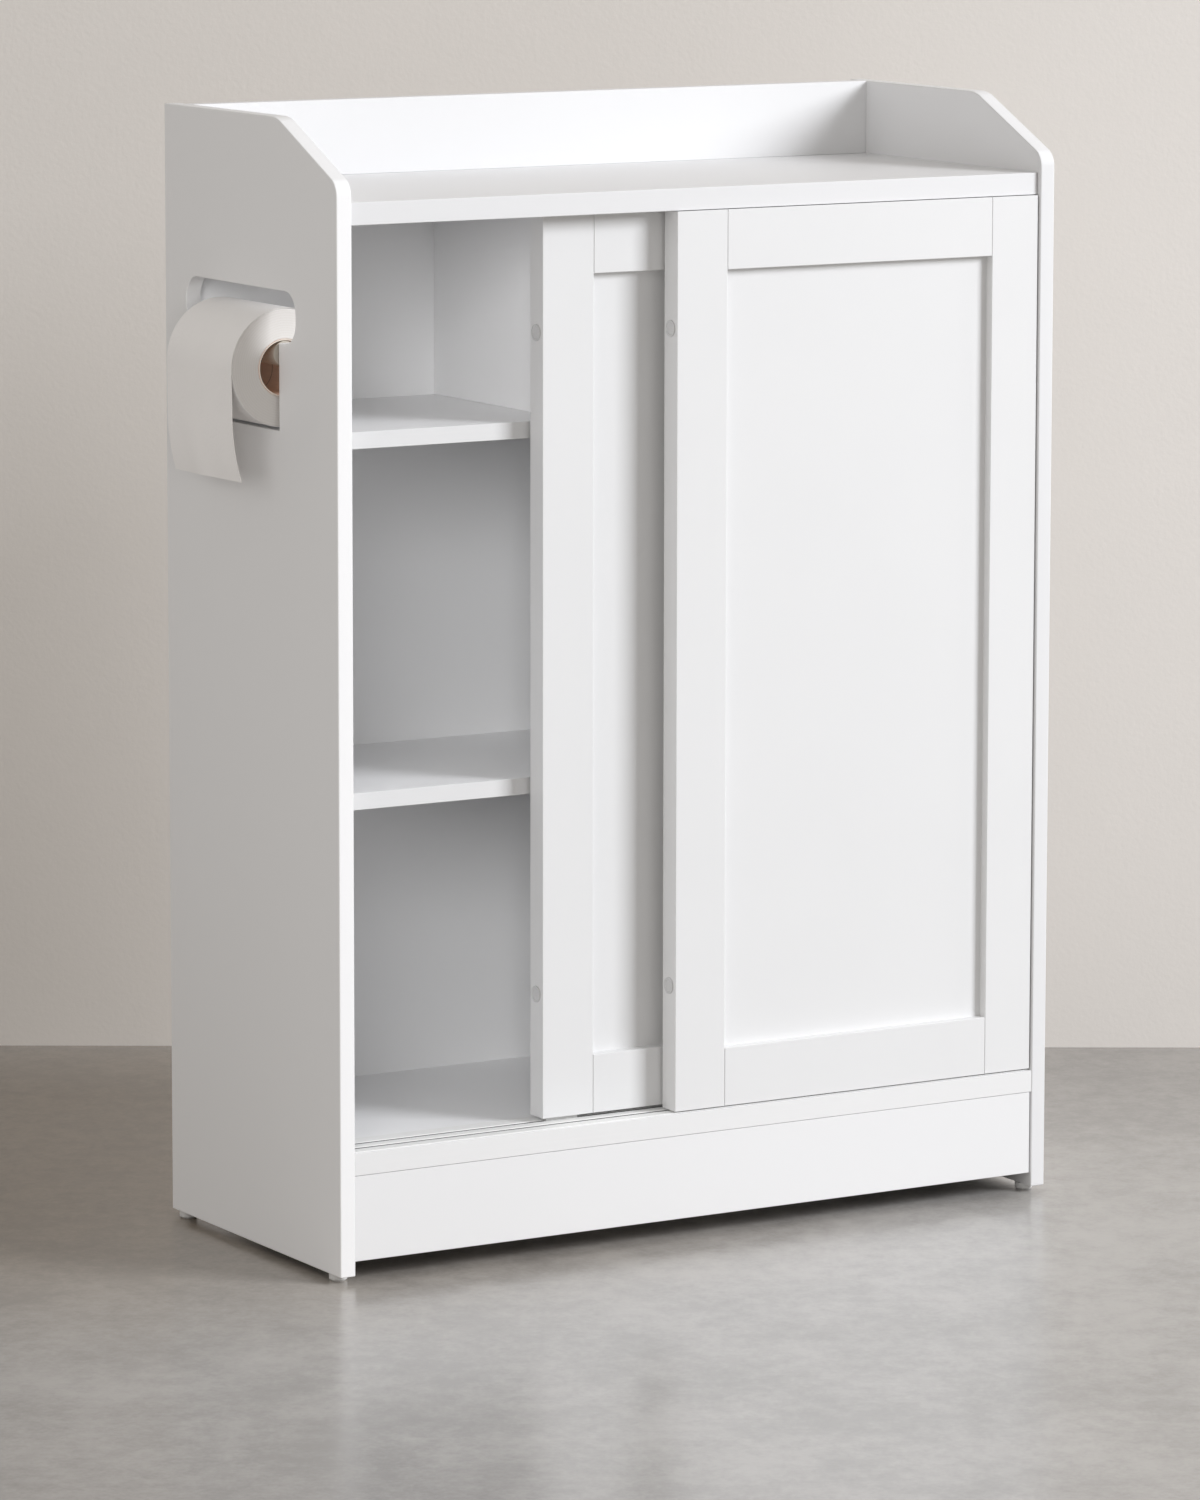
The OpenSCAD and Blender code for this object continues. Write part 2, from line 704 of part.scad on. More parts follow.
module paper_roll() color(paper_white) {
    soft = 1;
    translate([roll_x, roll_y, roll_z]) rotate([-90, 0, 0]) rotate_extrude($fn = 96) {
        translate([core_r + core_wall, 0]) polygon([
            [0, 0], [roll_r - core_r - core_wall - soft, 0], [roll_r - core_r - core_wall, soft],
            [roll_r - core_r - core_wall, roll_len - soft],
            [roll_r - core_r - core_wall - soft, roll_len], [0, roll_len]
        ]);
    }
}

module cardboard_core() color(cardboard) {
    difference() {
        rod_y([roll_x, roll_y, roll_z], core_r + core_wall, roll_len);
        rod_y([roll_x, roll_y - eps, roll_z], core_r, roll_len + 2 * eps);
    }
}

// A part of a ring, in (X, Z): from angle a over less than a half turn
module ring_part(r, t, a, turn) {
    far = 3 * r;
    intersection() {
        difference() {
            circle(r + t, $fn = 180);
            circle(r, $fn = 180);
        }
        polygon([
            [0, 0], far * [cos(a), sin(a)], far * [cos(a + turn / 2), sin(a + turn / 2)],
            far * [cos(a + turn), sin(a + turn)]
        ]);
    }
}

// The loose sheet: over the roll's top, straight down its outside, then curling in
module hanging_sheet() color(paper_white) {
    curl_deg = asin(sheet_curl_h / sheet_curl_r);
    along_y(roll_y, roll_len) {
        translate([roll_x, roll_z]) ring_part(sheet_in_r, sheet_t, 180 - wrap_deg, wrap_deg + 0.05);
        translate([roll_x - sheet_out_r, roll_z - sheet_straight]) square([sheet_t, sheet_straight]);
        translate([roll_x - sheet_out_r + sheet_t + sheet_curl_r, roll_z - sheet_straight]) {
            ring_part(sheet_curl_r, sheet_t, 180 - 0.05, curl_deg + 0.05);
        }
    }
}

// --- doors -----------------------------------------------------------------
// A door is drawn from its left edge x, front face y, lower edge z and height h.

function groove_y(y) = y == front_door_y ? front_groove_y : rear_groove_y;
function panel_y(y) = y + panel_recess;

// A stile of width w, with the groove for panel and tenons in its edge towards the door
module stile(x, y, z, h, w, groove_left) {
    groove_x = groove_left ? x - eps : x + w - frame_groove_deep;
    pin_x = groove_left ? x + w - guide_inset : x + guide_inset;
    glide_x = groove_left ? x + w - glide_inset : x + glide_inset;
    color(white) difference() {
        translate([0, 0, z]) linear_extrude(h) round_rect([x, y], w, door_t, edge_r);
        translate([groove_x, panel_y(y), z - eps]) {
            cube([frame_groove_deep + eps, panel_t + groove_play, h + 2 * eps]);
        }
        translate([pin_x, groove_y(y), z + h - guide_body_h]) {
            cylinder(r = guide_body_r + 0.05, h = guide_body_h + eps);
        }
        glide_seat(glide_x, y, z);
    }
}

// A rail between the stiles, with tenons and the panel's groove on its inner edge
module rail(x, y, z, groove_up) {
    x0 = x + left_stile_w;
    l = door_w - left_stile_w - right_stile_w;
    groove_z = groove_up ? z + rail_h - frame_groove_deep : z - eps;
    tenon_z = groove_up ? z : z + frame_groove_deep;
    color(white) difference() {
        union() {
            along_x(x0, l) round_rect([y, z], door_t, rail_h, edge_r);
            translate([x0 - tongue_in, panel_y(y) + groove_play / 2, tenon_z]) {
                cube([l + 2 * tongue_in, panel_t, rail_h - frame_groove_deep]);
            }
        }
        translate([x0 - tongue_in - eps, panel_y(y), groove_z]) {
            cube([l + 2 * tongue_in + 2 * eps, panel_t + groove_play, frame_groove_deep + eps]);
        }
    }
}

module door_panel(x, y, z, h) {
    color(white) translate([
        x + left_stile_w - tongue_in, panel_y(y) + groove_play / 2, z + rail_h - tongue_in
    ]) {
        cube([
            door_w - left_stile_w - right_stile_w + 2 * tongue_in, panel_t,
            h - 2 * rail_h + 2 * tongue_in
        ]);
    }
}

// Round bumpers on both edges of a door: a flat disc with a raised ring
module door_bumpers(x, y) {
    ring_w = 1.4;
    disc_t = 0.55;
    z_low = front_door_z + bumper_end + 8;
    z_high = door_top - bumper_end;
    color(clear_plastic) for (z = [z_low, z_high], right = [0, 1]) {
        translate([x + right * door_w, y + door_t / 2, z]) rotate([0, right ? 90 : -90, 0]) {
            difference() {
                cylinder(r = bumper_d / 2, h = bumper_t);
                translate([0, 0, disc_t]) {
                    cylinder(r = bumper_d / 2 - ring_w, h = bumper_t);
                }
            }
        }
    }
}

module glide_seat(mid_x, y, z) {
    translate([mid_x - glide_seat_l / 2, groove_y(y) - glide_seat_w / 2, z - eps]) {
        cube([glide_seat_l, glide_seat_w, glide_seat_t + eps]);
    }
}

// Glides in the door's lower edge: a plate let into the wood, a runner in the groove
module door_glides(x, y, z) {
    floor_z = base_h + track_proud - groove_deep + 0.2;
    round_r = 2;
    color(plastic_white) for (mid = [x + glide_inset, x + door_w - glide_inset]) {
        translate([mid - glide_seat_l / 2 + 0.1, groove_y(y) - glide_seat_w / 2 + 0.1, z]) {
            cube([glide_seat_l - 0.2, glide_seat_w - 0.2, glide_seat_t - 0.1]);
        }
        along_y(groove_y(y) - glide_t / 2, glide_t) {
            translate([mid - glide_l / 2, floor_z + round_r]) {
                square([glide_l, z + 0.5 - floor_z - round_r]);
            }
            translate([mid - glide_l / 2 + round_r, floor_z]) square([glide_l - 2 * round_r, round_r + eps]);
            for (s = [-1, 1]) {
                translate([mid + s * (glide_l / 2 - round_r), floor_z + round_r]) circle(round_r);
            }
        }
    }
}

// Spring pins in the door's upper edge: a housing in the wood, a pin in the groove
module door_guide_pins(x, y) {
    color(plastic_white) for (px = [x + guide_inset, x + door_w - guide_inset]) {
        translate([px, groove_y(y), door_top - guide_body_h + 0.5]) {
            cylinder(r = guide_body_r, h = guide_body_h - 0.5, $fn = 24);
            cylinder(r = guide_r, h = guide_body_h - 0.5 + guide_out, $fn = 24);
        }
    }
}

module front_door_left_stile() {
    stile(front_door_x, front_door_y, front_door_z, front_h, left_stile_w, false);
}
module front_door_right_stile() {
    stile(front_door_x + door_w - right_stile_w, front_door_y, front_door_z, front_h,
          right_stile_w, true);
}
module front_door_top_rail() rail(front_door_x, front_door_y, door_top - rail_h, false);
module front_door_bottom_rail() rail(front_door_x, front_door_y, front_door_z, true);
module front_door_panel() door_panel(front_door_x, front_door_y, front_door_z, front_h);
module front_door_bumpers() door_bumpers(front_door_x, front_door_y);
module front_door_glides() door_glides(front_door_x, front_door_y, front_door_z);
module front_door_guide_pins() door_guide_pins(front_door_x, front_door_y);

module rear_door_left_stile() {
    stile(rear_door_x, rear_door_y, rear_door_z, rear_h, left_stile_w, false);
}
module rear_door_right_stile() {
    stile(rear_door_x + door_w - right_stile_w, rear_door_y, rear_door_z, rear_h,
          right_stile_w, true);
}
module rear_door_top_rail() rail(rear_door_x, rear_door_y, door_top - rail_h, false);
module rear_door_bottom_rail() rail(rear_door_x, rear_door_y, rear_door_z, true);
module rear_door_panel() door_panel(rear_door_x, rear_door_y, rear_door_z, rear_h);
module rear_door_bumpers() door_bumpers(rear_door_x, rear_door_y);
module rear_door_glides() door_glides(rear_door_x, rear_door_y, rear_door_z);
module rear_door_guide_pins() door_guide_pins(rear_door_x, rear_door_y);

// --- the object ------------------------------------------------------------

placed() left_side_panel();
placed() right_side_panel();
placed() top_board();
placed() bottom_board();
placed() upper_shelf();
placed() lower_shelf();
placed() divider_panel();
placed() back_panel();
placed() gallery_rail();
placed() kick_board();
placed() rear_plinth_rail();
placed() top_track();
placed() bottom_track();
placed() front_left_foot();
placed() front_right_foot();
placed() back_left_foot();
placed() back_right_foot();
placed() cam_locks();
placed() cam_bolts();
placed() wood_dowels();
placed() shelf_pins();
placed() front_spindle_socket();
placed() rear_spindle_socket();
placed() spindle_tube();
placed() spindle_spring();
placed() spindle_plunger();
placed() paper_roll();
placed() cardboard_core();
placed() hanging_sheet();
placed() front_door_left_stile();
placed() front_door_right_stile();
placed() front_door_top_rail();
placed() front_door_bottom_rail();
placed() front_door_panel();
placed() front_door_bumpers();
placed() front_door_glides();
placed() front_door_guide_pins();
placed() rear_door_left_stile();
placed() rear_door_right_stile();
placed() rear_door_top_rail();
placed() rear_door_bottom_rail();
placed() rear_door_panel();
placed() rear_door_bumpers();
placed() rear_door_glides();
placed() rear_door_guide_pins();
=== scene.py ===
import json
import math

import bpy
from mathutils import Matrix, Vector

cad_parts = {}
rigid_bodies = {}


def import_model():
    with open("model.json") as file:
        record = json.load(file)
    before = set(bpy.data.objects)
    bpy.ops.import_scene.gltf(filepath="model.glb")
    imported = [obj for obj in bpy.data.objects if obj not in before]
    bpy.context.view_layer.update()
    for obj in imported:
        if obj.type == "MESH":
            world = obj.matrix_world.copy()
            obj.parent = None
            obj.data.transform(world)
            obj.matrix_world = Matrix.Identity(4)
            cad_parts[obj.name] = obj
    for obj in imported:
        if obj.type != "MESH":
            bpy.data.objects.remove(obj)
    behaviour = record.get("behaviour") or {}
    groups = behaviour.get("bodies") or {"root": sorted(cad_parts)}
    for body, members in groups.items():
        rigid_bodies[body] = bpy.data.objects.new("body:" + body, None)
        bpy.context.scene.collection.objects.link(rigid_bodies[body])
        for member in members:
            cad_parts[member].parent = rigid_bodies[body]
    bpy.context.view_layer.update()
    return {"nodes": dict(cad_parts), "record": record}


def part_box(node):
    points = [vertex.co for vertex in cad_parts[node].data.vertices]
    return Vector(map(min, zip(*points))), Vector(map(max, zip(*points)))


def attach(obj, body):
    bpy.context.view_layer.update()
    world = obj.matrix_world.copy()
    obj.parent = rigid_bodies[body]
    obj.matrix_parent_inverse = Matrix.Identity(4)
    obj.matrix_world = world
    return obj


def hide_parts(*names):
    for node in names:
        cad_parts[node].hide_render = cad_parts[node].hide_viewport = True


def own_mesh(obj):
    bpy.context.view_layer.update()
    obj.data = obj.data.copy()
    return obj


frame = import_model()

# Sizes in metres. X runs to the right, Y to the back and Z up; boxes come from the frame.
MM = 0.001
EDGE = 0.5 * MM                 # softened edges of the carcass boards
PANEL_EDGE = 0.9 * MM           # softened edges of the side panels
FRAME_EDGE = 0.45 * MM          # softened edges of the doors' stiles and rails
SEAM = 0.3 * MM                 # open joint between a door's stiles and rails
CHAMFER_RUN = 88 * MM           # chamfer along the side panels' top edges
CHAMFER_DROP = 42 * MM          # chamfer down the side panels' front edges
CHAMFER_ROUNDS = (30 * MM, 13 * MM)   # radii of the chamfer's upper and lower corner
TOP_CORNER = 1.5 * MM           # radius of the top board's front corners
EDGE_BAND = 0.4 * MM            # band on the front edges of the shelves and the bottom board
BANDED_EDGE = 0.1 * MM          # softened edges of a board that has a band
BAND_EDGE = 0.15 * MM           # softened edges of the band itself
KICK_SEAM = 0.4 * MM            # open joint between the bottom board and the kick board
TRACK_SEAMS = {"bottom_track": 1.0 * MM, "top_track": 0.4 * MM}   # open joints beside the tracks
TONGUE = 5.5 * MM               # part of a door panel or rail that is inside its frame
CAM_PLAY = 0.15 * MM            # play round a cam in its pocket
THICK_CAM = (7.5 * MM, 12.5 * MM)    # radius and depth of a cam pocket in a thick board
THIN_CAM = (6.0 * MM, 9.5 * MM)      # the same in a thin board
CAM_IN = 22 * MM                # cam pocket from a board's end
CAM_SIDES = 48
BOARD_CAMS = (72 * MM, 204 * MM)     # cams of the top and bottom boards, behind the front edges
SHELF_CAMS = (72 * MM, 210 * MM)     # cams of the upper shelf, the same way
RAIL_CAMS = (792.5 * MM,)       # heights of the cams in the gallery rail
PLINTH_CAMS = (46 * MM,)        # heights of the cams in the kick board and the plinth rail

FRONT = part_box("left_side_panel")[0][1]     # the side panels' front edges
GROOVES = (15.5 * MM, 29 * MM)  # middles of the tracks' grooves, behind the front edges
GROOVE_HALF = 2 * MM

# Camera: where the photographer stood, from the middle of the object's floor
CAMERA_PLACE = (-2.5561, -4.3234, 1.1386)
CAMERA_YAW = 0.5379
CAMERA_PITCH = -0.1426
CAMERA_ROLL = 0.0017
CAMERA_LENS = 165.78
CAMERA_SENSOR = 36
CAMERA_SHIFT = (-0.0120, -0.0669)


# --- shapes ----------------------------------------------------------------

def alone(piece):
    """Makes this piece the only selected one, and the active one."""
    bpy.ops.object.select_all(action="DESELECT")
    piece.select_set(True)
    bpy.context.view_layer.objects.active = piece


def settle(piece, name):
    """Names a new piece and puts its place and turn into its mesh."""
    piece.name = piece.data.name = name
    alone(piece)
    bpy.ops.object.transform_apply(location=True, rotation=True, scale=True)
    return piece


def slab(name, low, high):
    """A plain block between two corners."""
    low, high = Vector(low), Vector(high)
    bpy.ops.object.select_all(action="DESELECT")
    bpy.ops.mesh.primitive_cube_add(size=1, location=(low + high) / 2, scale=high - low)
    return settle(bpy.context.object, name)


def rod(name, start, end, radius, sides=64):
    """A round bar from one point to another."""
    start, end = Vector(start), Vector(end)
    bpy.ops.object.select_all(action="DESELECT")
    bpy.ops.mesh.primitive_cylinder_add(
        vertices=sides, radius=radius, depth=(end - start).length, location=(start + end) / 2,
        rotation=(end - start).to_track_quat("Z", "Y").to_euler())
    return settle(bpy.context.object, name)


def finish_with(piece, kind, **settings):
    """Adds a modifier and applies it."""
    alone(piece)
    modifier = piece.modifiers.new(kind.title(), kind)
    for setting, value in settings.items():
        setattr(modifier, setting, value)
    bpy.ops.object.modifier_apply(modifier=modifier.name)


def cut(piece, *cutters):
    """Takes each cutter's shape out of the piece."""
    for cutter in cutters:
        finish_with(piece, "BOOLEAN", operation="DIFFERENCE", solver="EXACT", object=cutter)
        bpy.data.objects.remove(cutter)


def soften(piece, radius, segments=3, sharper_than=30):
    """Rounds every sharp edge a little and shades the flat faces flat."""
    finish_with(piece, "BEVEL", width=radius, segments=segments, limit_method="ANGLE",
                angle_limit=math.radians(sharper_than), loop_slide=False)
    alone(piece)
    bpy.ops.object.shade_smooth()
    finish_with(piece, "WEIGHTED_NORMAL", weight=100, keep_sharp=True)


def edit(piece, kind, test):
    """Enters edit mode with the vertices, edges or faces selected that pass the test."""
    mesh = piece.data
    for group in (mesh.vertices, mesh.edges, mesh.polygons):
        group.foreach_set("select", [False] * len(group))
    modes = {"VERT": mesh.vertices, "EDGE": mesh.edges, "FACE": mesh.polygons}
    for element in modes[kind]:
        element.select = test(element)
    bpy.context.tool_settings.mesh_select_mode = [kind == mode for mode in modes]
    alone(piece)
    bpy.ops.object.mode_set(mode="EDIT")


def edit_done():
    bpy.ops.object.mode_set(mode="OBJECT")


def round_corners(piece, axis, radius, segments=8, near=None):
    """Rounds the edges along an axis, 0 for X to 2 for Z, or those whose middle passes near."""
    places = piece.data.vertices

    def test(edge):
        start, end = (places[corner].co for corner in edge.vertices)
        step = start - end
        runs_along = abs(step[axis]) > 0.999 * step.length
        return runs_along and (near is None or near((start + end) / 2))
    edit(piece, "EDGE", test)
    bpy.ops.mesh.bevel(offset=radius, offset_type="OFFSET", segments=segments, affect="EDGES")
    edit_done()


def copy_of(piece, name, move=(0, 0, 0)):
    """A copy with a mesh of its own, moved."""
    twin = piece.copy()
    twin.data = piece.data.copy()
    bpy.context.scene.collection.objects.link(twin)
    twin.name = twin.data.name = name
    twin.data.transform(Matrix.Translation(move))
    return twin


def joined(name, pieces):
    """One piece out of several."""
    bpy.ops.object.select_all(action="DESELECT")
    for piece in pieces:
        piece.select_set(True)
    bpy.context.view_layer.objects.active = pieces[0]
    bpy.ops.object.join()
    pieces[0].name = pieces[0].data.name = name
    return pieces[0]


# --- finishes --------------------------------------------------------------

class Amount:
    """A number that changes over a surface. Python's operators on it add Math nodes."""

    def __init__(self, finish, socket):
        self.finish = finish
        self.socket = socket

    def act(self, operation, *rest):
        """A Math node on this number, and on the rest where it takes more."""
        return self.finish.math(operation, self, *rest)

    def __add__(self, other):
        return self.act("ADD", other)

    def __sub__(self, other):
        return self.act("SUBTRACT", other)

    def __rsub__(self, other):
        return self.finish.math("SUBTRACT", other, self)

    def __mul__(self, other):
        return self.act("MULTIPLY", other)

    def __truediv__(self, other):
        return self.act("DIVIDE", other)

    __radd__ = __add__
    __rmul__ = __mul__

    def above(self, low, high):
        """0 up to low, 1 from high on, and smooth in between."""
        return self.finish.node("ShaderNodeMapRange", {"interpolation_type": "SMOOTHSTEP"},
                                {"Value": self, "From Min": low, "From Max": high})

    def between(self, low, high, fade):
        """1 from low to high and 0 outside, with edges as wide as fade."""
        return self.above(low - fade, low) * (1 - self.above(high, high + fade))


class Finish:
    """A surface finish: one material with its own nodes round a Principled shader."""

    def __init__(self, name, colour, roughness, **constant):
        self.material = bpy.data.materials.new(name)
        self.material.use_nodes = True
        self.tree = self.material.node_tree
        self.shader = self.tree.nodes["Principled BSDF"]
        self.shader.inputs["Base Color"].default_value = (*colour, 1)
        self.shader.inputs["Roughness"].default_value = roughness
        for socket, value in constant.items():
            self.shader.inputs[socket.replace("_", " ")].default_value = value
        self.place = self.node("ShaderNodeTexCoord", out="Object")

    def node(self, kind, settings=None, sockets=None, out=0):
        """Adds a node: its settings first, then the values or links of its sockets."""
        node = self.tree.nodes.new(kind)
        for setting, value in (settings or {}).items():
            setattr(node, setting, value)
        for socket, value in (sockets or {}).items():
            if isinstance(value, Amount):
                self.tree.links.new(value.socket, node.inputs[socket])
            else:
                node.inputs[socket].default_value = value
        return Amount(self, node.outputs[out])

    def math(self, operation, *values):
        return self.node("ShaderNodeMath", {"operation": operation}, dict(enumerate(values)))

    def set(self, socket, value):
        self.tree.links.new(value.socket, self.shader.inputs[socket])

    def stretched(self, scale, turn=(0, 0, 0), place=None):
        return self.node("ShaderNodeMapping", None,
                         {"Vector": place or self.place, "Scale": scale, "Rotation": turn})

    def noise(self, scale, detail=3, roughness=0.5, place=None):
        return self.node("ShaderNodeTexNoise", None,
                         {"Vector": place or self.place, "Scale": scale, "Detail": detail,
                          "Roughness": roughness}, out="Fac")

    def cells(self, scale):
        return self.node("ShaderNodeTexVoronoi", None, {"Vector": self.place, "Scale": scale},
                         out="Distance")

    def axis(self, name, place=None):
        return self.node("ShaderNodeSeparateXYZ", None, {0: place or self.place}, out=name)

    def distance(self, point):
        return self.node("ShaderNodeVectorMath", {"operation": "DISTANCE"},
                         {0: self.place, 1: point}, out="Value")

    def centred(self, x, z):
        """Places measured from a line along Y."""
        return self.node("ShaderNodeVectorMath", {"operation": "SUBTRACT"},
                         {0: self.place, 1: (x, 0, z)}, out="Vector")

    def facing_along(self):
        """1 where the surface faces along Y, either way, and 0 where it faces across."""
        normal = self.node("ShaderNodeTexCoord", out="Normal")
        return self.axis("Y", normal).act("ABSOLUTE")

    def blend(self, mask, first, second, kind="MIX"):
        """A colour that goes from first to second as the mask goes from 0 to 1, or to their
        product."""
        colours = {6: first, 7: second}
        sockets = {place: value if isinstance(value, Amount) else (*value, 1)
                   for place, value in colours.items()}
        return self.node("ShaderNodeMix", {"data_type": "RGBA", "blend_type": kind},
                         {0: mask, **sockets}, out=2)

    def bump(self, height, depth, strength=1.0, under=None):
        sockets = {"Height": height, "Distance": depth, "Strength": strength}
        if under:
            sockets["Normal"] = under
        return self.node("ShaderNodeBump", None, sockets)


def tinted(colour, factor):
    return tuple(channel * factor for channel in colour)


def laminate():
    """Satin white laminate: nearly even, with a fine pearl to the surface."""
    white = (0.87, 0.87, 0.875)
    finish = Finish("white_laminate", white, 0.36)
    cloud = finish.noise(3.5, detail=2)
    speck = finish.noise(1400, detail=1)
    finish.set("Base Color", finish.blend(cloud * 0.7 + speck * 0.3, tinted(white, 0.985),
                                          tinted(white, 1.015)))
    pearl = finish.noise(520, detail=2)
    finish.set("Roughness", 0.30 + 0.10 * pearl + 0.05 * cloud)
    finish.set("Normal", finish.bump(pearl, 0.03 * MM, 0.35))
    return finish.material


def edge_band():
    """Smooth white plastic band with faint drawing lines along it."""
    white = (0.86, 0.86, 0.86)
    finish = Finish("white_edge_band", white, 0.34)
    lines = finish.noise(900, detail=2, place=finish.stretched((0.01, 1, 1)))
    finish.set("Base Color", finish.blend(lines, tinted(white, 0.985), tinted(white, 1.01)))
    finish.set("Roughness", 0.28 + 0.12 * lines)
    finish.set("Normal", finish.bump(lines, 0.02 * MM, 0.4))
    return finish.material


def door_foil():
    """Satin white foil drawn over fibreboard: a slight orange peel and long soft waves."""
    white = (0.875, 0.875, 0.875)
    finish = Finish("white_foil", white, 0.40)
    wave = finish.noise(9, detail=2)
    peel = finish.noise(330, detail=3, roughness=0.45)
    finish.set("Base Color", finish.blend(wave, tinted(white, 0.985), tinted(white, 1.012)))
    finish.set("Roughness", 0.34 + 0.10 * peel + 0.06 * wave)
    finish.set("Normal", finish.bump(peel, 0.04 * MM, 0.4, under=finish.bump(wave, 0.3 * MM, 0.1)))
    return finish.material


def moulded_white():
    """Moulded white plastic with a fine spark-eroded grain."""
    white = (0.80, 0.80, 0.79)
    finish = Finish("moulded_white", white, 0.45)
    grain = finish.noise(1800, detail=2)
    flow = finish.noise(35, detail=2)
    finish.set("Base Color", finish.blend(flow, tinted(white, 0.97), tinted(white, 1.02)))
    finish.set("Roughness", 0.38 + 0.16 * grain)
    finish.set("Normal", finish.bump(grain, 0.02 * MM, 0.5))
    return finish.material


def running_track(node):
    """The tracks' plastic, with near-black painted shade in the running grooves."""
    # the second colour is near-black painted shade for the running grooves
    white, groove_shade = (0.82, 0.82, 0.81), (0.06, 0.06, 0.062)
    finish = Finish(node + "_plastic", white, 0.45)
    low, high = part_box(node)
    top = node == "top_track"
    depth = finish.axis("Z") - low[2] if top else high[2] - finish.axis("Z")
    inside = depth.above(0.15 * MM, 0.7 * MM)
    across = finish.axis("Y") - FRONT
    grooves = sum(across.between(middle - GROOVE_HALF, middle + GROOVE_HALF, 0.2 * MM)
                  for middle in GROOVES) * inside
    grain = finish.noise(1800, detail=2)
    flow = finish.noise(35, detail=2)
    # painted shade: the grooves' insides go nearly black and stand in for the shade in them
    painted_groove_shade = grooves * (0.75 + 0.25 * flow)
    finish.set("Base Color", finish.blend(painted_groove_shade, finish.blend(
        flow, tinted(white, 0.97), tinted(white, 1.02)), groove_shade))
    finish.set("Roughness", 0.38 + 0.16 * grain + 0.3 * painted_groove_shade)
    finish.set("Normal", finish.bump(grain, 0.02 * MM, 0.5))
    return finish.material


def spindle_plastic():
    """Light beige plastic of the spindle, dulled where the core has rubbed on it."""
    beige = (0.60, 0.55, 0.48)
    finish = Finish("spindle_plastic", beige, 0.4)
    grain = finish.noise(900, detail=2)
    rub = finish.noise(60, detail=3, place=finish.stretched((1, 0.15, 1))).above(0.45, 0.7)
    finish.set("Base Color", finish.blend(rub, beige, tinted(beige, 0.9)))
    finish.set("Roughness", 0.34 + 0.18 * rub + 0.06 * grain)
    finish.set("Normal", finish.bump(grain, 0.02 * MM, 0.4))
    return finish.material


def clear_bumper():
    """Soft clear polyurethane: milky, with a glossy skin and tiny bubbles."""
    haze = (0.84, 0.84, 0.84)
    finish = Finish("clear_bumper", haze, 0.2, Transmission_Weight=0.15, IOR=1.45)
    bubbles = finish.cells(900)
    finish.set("Base Color", finish.blend(bubbles.above(0.1, 0.5), tinted(haze, 1.08), haze))
    finish.set("Roughness", 0.16 + 0.12 * finish.noise(700))
    finish.set("Normal", finish.bump(finish.noise(420, detail=1), 0.03 * MM, 0.5))
    return finish.material


def tissue(name, axis_x, axis_z):
    """Soft white tissue: embossed dimples, loose fibres, and wound layers on the roll's ends,
    which carry painted shade.
    """
    white = (0.935, 0.915, 0.90)
    finish = Finish(name, white, 0.95, Sheen_Weight=0.25, Sheen_Roughness=0.6)
    flat = finish.stretched((1, 0, 1), place=finish.centred(axis_x, axis_z))
    radius = finish.node("ShaderNodeVectorMath", {"operation": "LENGTH"}, {0: flat},
                         out="Value")
    end = finish.facing_along().above(0.6, 0.9)
    wander = finish.noise(26, detail=3) * 5
    layers = (radius * 3600 + wander).act("SINE") * 0.5 + 0.5
    dimples = finish.cells(330).above(0.05, 0.55)
    fibres = finish.noise(1500, detail=4, roughness=0.65)
    crease = finish.noise(45, detail=3)
    tone = finish.blend(fibres * 0.5 + crease * 0.5, tinted(white, 0.96), tinted(white, 1.03))
    # painted shade: faces along Y, the roll's ends, are darkened toward warm beige, a little less
    # on the rings of the wound layers
    finish.set("Base Color", finish.blend(end * (0.38 - layers * 0.1), tone, (0.68, 0.63, 0.56)))
    relief = dimples * (1 - end) * 0.5 + fibres * 0.35 + layers * end * 0.12
    finish.set("Normal", finish.bump(relief, 0.22 * MM, 0.55,
                                     under=finish.bump(crease, 1.2 * MM, 0.2)))
    finish.set("Roughness", 0.88 + 0.08 * fibres)
    return finish.material


WINDING = 60 * MM               # a turn of the cardboard's spiral seam, along the core


def cardboard(axis_x, axis_z):
    """Brown wound cardboard with a spiral seam and long fibres, and paler cut ends."""
    brown = (0.82, 0.575, 0.44)
    finish = Finish("cardboard", brown, 0.85)
    centred = finish.centred(axis_x, axis_z)
    angle = finish.axis("X", centred).act("ARCTAN2", finish.axis("Z", centred))
    turn = angle / math.tau + finish.axis("Y", centred) / WINDING
    seam = 1 - (turn.act("FRACT") - 0.5).act("ABSOLUTE").above(0.0, 0.018)
    fibres = finish.noise(260, detail=4, roughness=0.6, place=finish.stretched((1, 0.25, 1)))
    tone = finish.blend(fibres, tinted(brown, 0.8), tinted(brown, 1.2))
    wound = finish.blend(seam * 0.7, tone, tinted(brown, 0.35))
    end = finish.facing_along().above(0.5, 0.8)
    finish.set("Base Color", finish.blend(end, wound, (0.70, 0.64, 0.57)))
    finish.set("Roughness", 0.78 + 0.15 * fibres)
    finish.set("Normal", finish.bump(fibres - seam, 0.15 * MM, 0.6))
    return finish.material


def zinc():
    """Zinc plate: pale, slightly blue, with the soft spangle of small castings."""
    pale = (0.55, 0.56, 0.58)
    finish = Finish("zinc_plate", pale, 0.35, Metallic=1.0)
    spangle = finish.cells(700)
    finish.set("Base Color", finish.blend(spangle, tinted(pale, 0.85), tinted(pale, 1.1)))
    finish.set("Roughness", 0.28 + 0.2 * finish.noise(900))
    finish.set("Normal", finish.bump(finish.noise(1200), 0.02 * MM, 0.4))
    return finish.material


